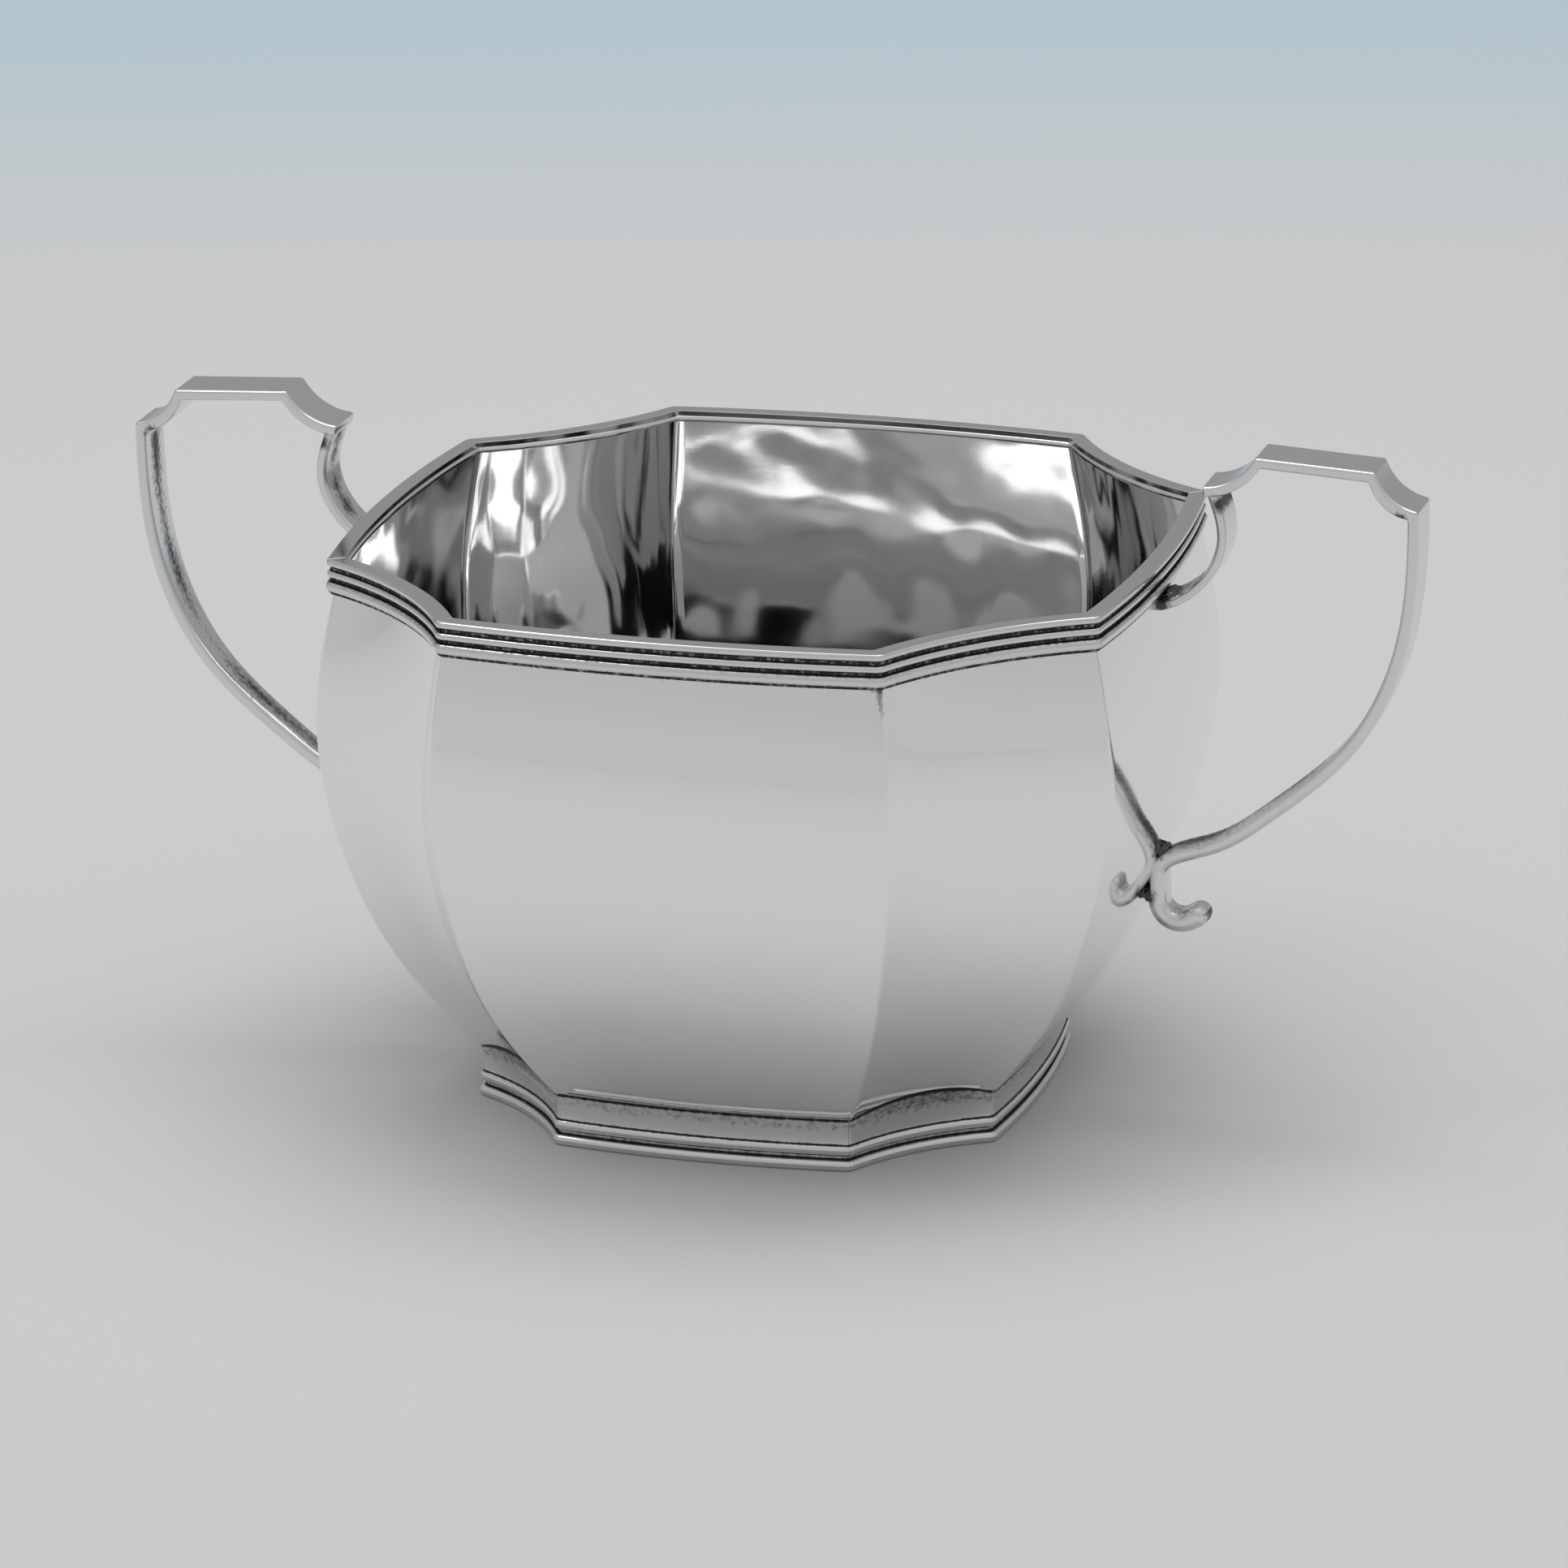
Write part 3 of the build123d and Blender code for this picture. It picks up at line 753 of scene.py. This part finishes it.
class BOWL_OT_handle_scrolls(bpy.types.Operator):
    """The short inner limb of each handle, bent in to the wall under the rim"""

    bl_idname = "sugar_bowl.handle_scrolls"
    bl_label = "Inner Limbs"

    def execute(self, context):
        rim = context.scene.sugar_bowl_body.rim_half / MM
        handle = context.scene.sugar_bowl_handles
        thick = 1.35
        end_z = RIM_TOP - 6.6
        wall_x = wall_face(context.scene, end_z)
        path = through([
            (rim + 8.6, TIP_Z - handle.strap_thick / MM / 2), (rim + 10.2, RIM_TOP + 3.8),
            (rim + 6.8, RIM_TOP - 3.6), (wall_x - 0.45, end_z - 0.1)],
            1200, first=(0.33, -0.94), last=(-0.977, -0.215))
        reach = normals(path) * thick / 2
        outer, inner = path + reach, path - reach
        index = np.linspace(0, len(path) - 1, 60)
        half_wide = np.full(len(path), handle.scroll_wide / MM / 2)
        points = bar_points(outer, inner, half_wide, handle.edge_round / MM, index)
        marks = strap_stain_and_shade(points, 0.90, OUTER_FACE, ((rim + 9.9, RIM_TOP + 8.4), 1.3),
                            ((wall_x, end_z), 1.6))
        place_pair("handle_{}_inner_limb", points, handle_silver(), "handle_{}_scroll", marks)
        return {"FINISHED"}


class BOWL_OT_handle_limbs(bpy.types.Operator):
    """The long outer limb of each handle, seated on the wall and curled at its end"""

    bl_idname = "sugar_bowl.handle_limbs"
    bl_label = "Outer Limbs"

    def execute(self, context):
        rim = context.scene.sugar_bowl_body.rim_half / MM
        handle = context.scene.sugar_bowl_handles
        thick, half_strap = handle.strap_thick / MM, handle.strap_wide / MM / 2
        seat_thick, curl_thick, curl_radius, swing = 2.4, 3.1, 3.1, math.radians(120)
        low_z, high_z = 24.0, STRAP_END_Z + 1.0
        wall_x = wall_face(context.scene, SEAT_Z)
        seat = np.array([wall_x + seat_thick / 2 - 0.35, SEAT_Z])
        upper = through([
            (STRAP_OUT - thick / 2, STRAP_END_Z), (rim + 35.2, RIM_TOP - 10.7),
            (rim + 28.0, RIM_TOP - 25.7), (rim + 16.0, RIM_TOP - 36.8),
            (rim + 7.6, RIM_TOP - 42.0), seat], 3200, first=(0, -1), last=(0, -1))
        turn = seat - (0, 3.6)
        angle = np.linspace(0, swing, 300)[:, None]
        centre = turn + (curl_radius, 0)
        curl = centre + curl_radius * np.concatenate([-np.cos(angle), -np.sin(angle)], axis=1)
        ahead = np.array([math.sin(swing), -math.cos(swing)])
        run = curl[-1] + ahead * np.linspace(0, 1.2, 80)[:, None]
        nose_long = curl_thick / 2
        nose = run[-1] + ahead * (nose_long * np.sin(np.linspace(0, math.pi / 2 * 0.97, 80)))[:, None]
        path = joined([upper, bowed(seat, turn, 0, 200), curl, run, nose])
        travelled = lengths(path)
        nose_at = travelled[-1] - nose_long
        body = np.interp(travelled, [0, lengths(upper)[-1], nose_at], [thick, seat_thick, curl_thick])
        past = np.clip((travelled - nose_at) / nose_long, 0, 1)
        closing = np.sqrt(np.maximum(1 - past ** 2, 0.0009))
        reach = normals(path) * (body * closing / 2)[:, None]
        outer, inner = path - reach, path + reach
        elbow_in = np.array([STRAP_OUT - thick, ELBOW_Z - thick * 0.8])
        height = [low_z, SEAT_Z, RIM_TOP - 36.5, RIM_TOP - 10.7, high_z]
        across = [2.7, 2.2, 2.53, half_strap * 0.93, half_strap]
        half_wide = spline(height, across, np.clip(path[:, 1], low_z, high_z))[:, 0]
        half_wide *= 0.45 + 0.55 * closing
        index = np.unique(np.concatenate([[1, 4, 16], stations(path, 170, 5.0),
                                          np.linspace(len(path) - 84, len(path) - 1, 16)]))
        # edges grow rounder from the strap down to the curl
        radius = np.interp(index, [0, 700, len(upper), len(path)],
                           [handle.edge_round / MM, 0.72, 0.95, 1.35])
        points = bar_points(outer, inner, half_wide, radius, index)
        # the spot inside the curl is painted shade, a dark reflection; the streak and the other spots
        # mark tarnishing
        marks = strap_stain_and_shade(points, 0.95, INNER_FACE, (elbow_in + (-1.0, 0.0), 1.2),
                            ((wall_x + 0.8, SEAT_Z + 3.6), 1.4), ((wall_x - 0.6, SEAT_Z - 3.3), 1.5),
                            (centre + (0.4, 0.0), 1.9))
        place_pair("handle_{}_outer_limb", points, handle_silver(), "handle_{}_limb", marks)
        return {"FINISHED"}


def solder_bead(centre, size, lumps):
    """A lump of solder: a ball drawn out to three half sizes, its surface pushed in and out by waves.

    The radius is 1 plus a tenth of the product of two sine waves round and along the ball.
    """
    pole = 0.03
    along, around = np.meshgrid(np.linspace(pole, math.pi - pole, 34),
                                np.linspace(0, 2 * math.pi, 49)[:-1], indexing="ij")
    reach = 1 + 0.10 * np.sin(lumps * along + 0.7) * np.sin((lumps - 1) * around + along * 2)
    level = np.sin(along)
    ball = np.stack([level * np.cos(around), level * np.sin(around), np.cos(along)], axis=2)
    return centre + ball * reach[..., None] * size


class BOWL_OT_solder(bpy.types.Operator):
    """The lumps of solder left where each handle meets the wall and the rim"""

    bl_idname = "sugar_bowl.solder"
    bl_label = "Solder"

    def execute(self, context):
        # name, height, distance out from the wall, half sizes, waves
        rows = (("above_seat", SEAT_Z + 2.9, 0.55, (1.35, 1.6, 1.5), 7),
                ("below_seat", SEAT_Z - 3.2, 0.45, (0.95, 1.4, 1.3), 6),
                ("under_rim", RIM_TOP - 5.7, 1.0, (1.5, 2.9, 0.85), 8))
        for name, z, out, size, lumps in rows:
            points = solder_bead((wall_face(context.scene, z) + out, 0, z), size, lumps)
            place_pair("solder_" + name + "_{}", points, solder(), None, 0.45)
        return {"FINISHED"}


# ---------------- materials


def emptied_tree(owner):
    """The node tree of a material or a world, with nothing in it."""
    owner.use_nodes = True
    owner.node_tree.nodes.clear()
    return owner.node_tree


def add_node(tree, kind, settings=None, links=None):
    """One node with its settings (sockets by name or number, else attributes) and input links.

    A link comes from a socket, or from the first output of a node.
    """
    node = tree.nodes.new(kind)
    for key, value in (settings or {}).items():
        if isinstance(key, int) or key in node.inputs:
            node.inputs[key].default_value = value
        else:
            setattr(node, key, value)
    for key, source in (links or {}).items():
        if isinstance(source, bpy.types.Node):
            source = source.outputs[0]
        tree.links.new(source, node.inputs[key])
    return node


def silver(name, colour, polish, wave, hairline, stain_and_shade, tarnish_rough=0.5):
    """Sterling silver of one colour and one roughness, polish, where it is clean.

    wave is the height in millimetres of the slow unevenness that hand planishing leaves, hairline
    how strongly fine wiping scratches break the gloss, stain_and_shade how much the mesh's dark mark
    shows: old tarnishing, and painted shade where a piece marks it so.
    """
    if name in bpy.data.materials:
        return bpy.data.materials[name]
    made = bpy.data.materials.new(name)
    tree = emptied_tree(made)
    at = add_node(tree, "ShaderNodeTexCoord").outputs["Object"]

    # hand planishing: rises and dips about 16 mm across
    slow = add_node(tree, "ShaderNodeTexNoise",
                    {"Scale": 1 / (16 * MM), "Detail": 1.0, "Roughness": 0.4}, {"Vector": at})
    waves = add_node(tree, "ShaderNodeBump", {"Strength": 1.0, "Distance": wave * MM}, {"Height": slow})
    # wiping scratches: 0.15 mm apart, drawn wider than the real ones so that they show
    stretch = add_node(tree, "ShaderNodeMapping",
                       {"Scale": (0.18, 0.18, 1.0), "Rotation": (0.2, 0.1, 0.4)}, {"Vector": at})
    scratch = add_node(tree, "ShaderNodeTexNoise", {"Scale": 1 / (0.5 * MM), "Detail": 2.0},
                       {"Vector": stretch})
    fine = add_node(tree, "ShaderNodeBump", {"Strength": hairline, "Distance": 0.004 * MM},
                    {"Height": scratch, "Normal": waves})
    # handling marks: cloudy patches about 9 mm across where the polish has dulled
    cloud = add_node(tree, "ShaderNodeTexNoise",
                     {"Scale": 1 / (9 * MM), "Detail": 4.0, "Roughness": 0.6}, {"Vector": at})
    dull = add_node(tree, "ShaderNodeMapRange",
                    {"From Min": 0.35, "From Max": 0.75, "To Min": polish, "To Max": polish + 0.05},
                    {"Value": cloud})
    # tarnish and painted shade: the mark on the mesh, broken up by grains about 0.7 mm across
    mark = add_node(tree, "ShaderNodeAttribute", {"attribute_name": "tarnish"})
    grain = add_node(tree, "ShaderNodeTexNoise",
                     {"Scale": 1 / (0.7 * MM), "Detail": 3.0, "Roughness": 0.65}, {"Vector": at})
    broken = add_node(tree, "ShaderNodeMapRange",
                      {"From Min": 0.25, "From Max": 0.75, "To Min": -0.35, "To Max": 0.25},
                      {"Value": grain})
    added = add_node(tree, "ShaderNodeMath", {"operation": "ADD"}, {0: mark.outputs["Fac"], 1: broken})
    shown = add_node(tree, "ShaderNodeMapRange",
                     {"From Min": 0.25, "From Max": 0.80, "To Min": 0.0, "To Max": stain_and_shade},
                     {"Value": added})
    dark = bpy.context.scene.sugar_bowl_finish.tarnish
    tint = add_node(tree, "ShaderNodeMix", {"data_type": "RGBA", 6: colour, 7: dark}, {0: shown})
    rough = add_node(tree, "ShaderNodeMix", {"data_type": "FLOAT", 3: tarnish_rough},
                     {0: shown, 2: dull})
    shader = add_node(tree, "ShaderNodeBsdfPrincipled", {"Metallic": 1.0},
                      {"Base Color": tint.outputs[2], "Roughness": rough, "Normal": fine})
    add_node(tree, "ShaderNodeOutputMaterial", links={"Surface": shader})
    return made


def polished_silver():
    """Sterling silver sheet, planished and machine polished: a soft-edged mirror with slow waves."""
    finish = bpy.context.scene.sugar_bowl_finish
    return silver("planished_sterling_silver_sheet", finish.silver, finish.polish, wave=0.05,
                  hairline=0.10, stain_and_shade=0.85)


def inner_silver():
    """The same sheet inside the bowl, its hand planishing never smoothed out: wavier reflections."""
    colour = bpy.context.scene.sugar_bowl_finish.inner_silver
    return silver("hand_planished_sterling_interior", colour, 0.04, wave=0.30, hairline=0.15, stain_and_shade=0.6)


def tarnished_and_shaded_silver():
    """Drawn and polished sterling moulding: bright beads, black tarnishing in the grooves, and painted
    shade on the foot.
    """
    colour = bpy.context.scene.sugar_bowl_finish.moulding_silver
    return silver("drawn_sterling_silver_moulding", colour, 0.08, wave=0.01, hairline=0.15, stain_and_shade=0.97,
                  tarnish_rough=0.55)


def handle_silver():
    """Filed sterling, polished by hand: flat faces a little dulled, dark in the sharp corners, painted
    shade in the curls.
    """
    colour = bpy.context.scene.sugar_bowl_finish.handle_silver
    return silver("filed_sterling_silver_strap", colour, 0.19, wave=0.02, hairline=0.25, stain_and_shade=0.9)


def solder():
    """Hard silver solder, never polished: oxidised dark grey with a few bright high spots."""
    colour = bpy.context.scene.sugar_bowl_finish.solder
    return silver("oxidised_silver_solder", colour, 0.25, wave=0.05, hairline=0.5, stain_and_shade=0.9)


# ---------------- operators: stage


class BOWL_OT_stage(bpy.types.Operator):
    """The camera, the pale table, and the soft tent of light round the bowl"""

    bl_idname = "sugar_bowl.stage"
    bl_label = "Stage"

    def execute(self, context):
        scene = context.scene
        scene.view_settings.view_transform = "Standard"
        set_camera(scene)
        set_table(scene)
        set_world(scene)
        set_lights(scene)
        return {"FINISHED"}


def set_camera(scene):
    """A long lens 1.2 m off, 16 degrees round from the front and 18 degrees up, rolled a little."""
    data = bpy.data.cameras.new("camera")
    data.sensor_width, data.lens = 36, 195.3
    data.clip_start, data.clip_end = 0.05, 50
    camera = bpy.data.objects.new("camera", data)
    scene.collection.objects.link(camera)
    azimuth, elevation, roll = math.radians(16.34), math.radians(18.35), math.radians(-0.65)
    back = Vector((math.sin(azimuth) * math.cos(elevation), -math.cos(azimuth) * math.cos(elevation),
                   math.sin(elevation)))
    level = Vector((math.cos(azimuth), math.sin(azimuth), 0))
    upward = back.cross(level)
    right = level * math.cos(roll) + upward * math.sin(roll)
    upward = back.cross(right)
    aim, distance = Vector((1.37, 0, 42.68)) * MM, 1.1983
    turned = Matrix((right, upward, back)).transposed()
    camera.matrix_world = Matrix.Translation(aim + back * distance) @ turned.to_4x4()
    scene.camera = camera


def set_table(scene):
    """A round sheet of matt paper, set back from the bowl: pale grey, light blue at the back."""
    finish = scene.sugar_bowl_finish
    radius, centre, below, rings, spokes = 1.0, (-0.098, 0.336), -0.00003, 12, 96
    reach, turn = np.meshgrid(np.linspace(0.01, radius, rings),
                              np.linspace(0, 2 * math.pi, spokes + 1)[:-1], indexing="ij")
    points = np.stack([(reach * np.cos(turn)).ravel() + centre[0],
                       (reach * np.sin(turn)).ravel() + centre[1], np.full(reach.size, below)], axis=1)
    faces = grid_faces(rings, spokes, wrap_columns=True)[:, ::-1].tolist() + [list(range(spokes))]
    mesh = bpy.data.meshes.new("table_paper")
    mesh.from_pydata(points.tolist(), [], faces)
    table = bpy.data.objects.new("table_paper", mesh)
    scene.collection.objects.link(table)
    made = bpy.data.materials.new("matt_backdrop_paper")
    tree = emptied_tree(made)
    at = add_node(tree, "ShaderNodeTexCoord").outputs["Object"]
    # metres level away from the camera, past the bowl's axis
    behind = add_node(tree, "ShaderNodeVectorMath", {"operation": "DOT_PRODUCT", 1: (-0.281, 0.960, 0.0)},
                      {0: at})
    fade = add_node(tree, "ShaderNodeMapRange",
                    {"From Min": 0.40, "From Max": 0.72, "interpolation_type": "SMOOTHSTEP"},
                    {"Value": behind.outputs["Value"]})
    colour = add_node(tree, "ShaderNodeMix", {"data_type": "RGBA", 6: finish.table, 7: finish.backdrop},
                      {0: fade})
    shader = add_node(tree, "ShaderNodeBsdfPrincipled", {"Roughness": 0.9, "Specular IOR Level": 0.1},
                      {"Base Color": colour.outputs[2]})
    add_node(tree, "ShaderNodeOutputMaterial", links={"Surface": shader})
    mesh.materials.append(made)


def set_world(scene):
    """A tent of pale cloth: darker behind, and brighter overhead and along the horizon."""
    world = bpy.data.worlds.new("light_tent")
    scene.world = world
    tree = emptied_tree(world)
    way = add_node(tree, "ShaderNodeTexCoord").outputs["Generated"]
    # how far a direction points level towards the camera, and how far up
    facing = add_node(tree, "ShaderNodeVectorMath", {"operation": "DOT_PRODUCT", 1: (0.281, -0.960, 0.0)},
                      {0: way}).outputs["Value"]
    upward = add_node(tree, "ShaderNodeSeparateXYZ", links={"Vector": way}).outputs["Z"]
    level = None
    # from behind to the front, from half way up to overhead, and from the horizon up
    for value, low, high, at_low, at_high in ((facing, -1.1, 0.3, 0.33, 0.50),
                                              (upward, 0.35, 0.90, 1.0, 1.27),
                                              (upward, -0.02, 0.13, 1.10, 1.0)):
        share = add_node(tree, "ShaderNodeMapRange",
                         {"From Min": low, "From Max": high, "To Min": at_low, "To Max": at_high,
                          "interpolation_type": "SMOOTHSTEP"}, {"Value": value})
        if level:
            share = add_node(tree, "ShaderNodeMath", {"operation": "MULTIPLY"}, {0: level, 1: share})
        level = share
    shine = add_node(tree, "ShaderNodeBackground", {"Color": hex_linear("#FDFDFF")}, {"Strength": level})
    add_node(tree, "ShaderNodeOutputWorld", links={"Surface": shine})


def set_lights(scene):
    """A large soft box overhead, a strip light above it, and a small box high over the front left.

    The large box lights the scene and isn't seen in mirror reflections. The other two are seen.
    """
    # name, place, size, watts, seen in mirrors
    rows = [("soft_box_overhead", (0.04, 0.18, 1.15), (1.15, 1.15), 2.9, False),
            ("strip_overhead", (0.0, 0.22, 1.6), (1.3, 0.75), 6.7, True),
            ("soft_box_left", (-0.75, -0.45, 1.5), (0.5, 0.7), 2.4, True)]
    for name, spot, size, power, mirrored in rows:
        data = bpy.data.lights.new(name, "AREA")
        data.shape = "RECTANGLE"
        data.size, data.size_y = size
        data.energy = power
        light = bpy.data.objects.new(name, data)
        light.visible_glossy = mirrored
        light.location = spot
        light.rotation_euler = (-Vector(spot)).to_track_quat("-Z", "Y").to_euler()
        scene.collection.objects.link(light)


# ---------------- panel and main

OPERATORS = (BOWL_OT_stage, BOWL_OT_wall, BOWL_OT_floor, BOWL_OT_rim, BOWL_OT_foot, BOWL_OT_handle_tops,
             BOWL_OT_handle_scrolls, BOWL_OT_handle_limbs, BOWL_OT_solder)
GROUPS = {"sugar_bowl_body": BowlBody, "sugar_bowl_mouldings": BowlMouldings,
          "sugar_bowl_handles": BowlHandles, "sugar_bowl_finish": BowlFinish}


class BOWL_PT_panel(bpy.types.Panel):
    """The bowl's sizes, finish and pieces"""

    bl_idname = "BOWL_PT_panel"
    bl_label = "Sugar Bowl"
    bl_space_type = "VIEW_3D"
    bl_region_type = "UI"
    bl_category = "Sugar Bowl"

    def draw(self, context):
        for name, group in GROUPS.items():
            box = self.layout.box()
            for prop in group.__annotations__:
                box.prop(getattr(context.scene, name), prop)
        for operator in OPERATORS:
            self.layout.operator(operator.bl_idname)


def register():
    for cls in (*GROUPS.values(), *OPERATORS, BOWL_PT_panel):
        bpy.utils.register_class(cls)
    for name, group in GROUPS.items():
        setattr(bpy.types.Scene, name, PointerProperty(type=group))


def unregister():
    for name in GROUPS:
        delattr(bpy.types.Scene, name)
    for cls in reversed((*GROUPS.values(), *OPERATORS, BOWL_PT_panel)):
        bpy.utils.unregister_class(cls)


def main():
    """Builds the stage and every piece."""
    register()
    for operator in OPERATORS:
        group, name = operator.bl_idname.split(".")
        getattr(getattr(bpy.ops, group), name)()


if __name__ == "__main__":
    main()
